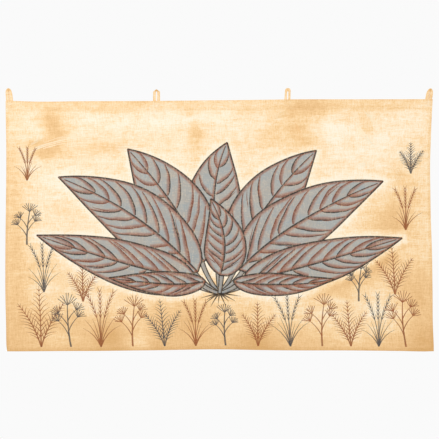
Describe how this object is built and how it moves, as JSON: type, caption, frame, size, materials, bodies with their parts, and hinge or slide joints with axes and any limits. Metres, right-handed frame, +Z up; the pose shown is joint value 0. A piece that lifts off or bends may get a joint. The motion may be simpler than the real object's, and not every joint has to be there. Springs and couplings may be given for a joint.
{
  "type": "painted linen wall hanging with fabric loops",
  "caption": "Wide painted linen hanging with turned hems, held at its top edge by narrow fabric strip loops.",
  "frame": {"origin": "middle of the cloth's width, in the plane of the loops, at the height of the pegs or rod that the loops hang on", "axes": "+X along the cloth's width, to the right seen from the painted front; +Y from the front to the back; +Z up, towards what the loops hang on"},
  "size_m": [1.7113, 0.0206, 1.0527],
  "materials": {
    "linen": "matte dyed and painted plain-weave linen",
    "strip": "matte dyed linen strip, folded and sewn"
  },
  "bodies": {
    "root": {"cloth": "linen", "loop_1": "strip", "loop_2": "strip", "loop_3": "strip", "loop_4": "strip"}
  },
  "joints": []
}
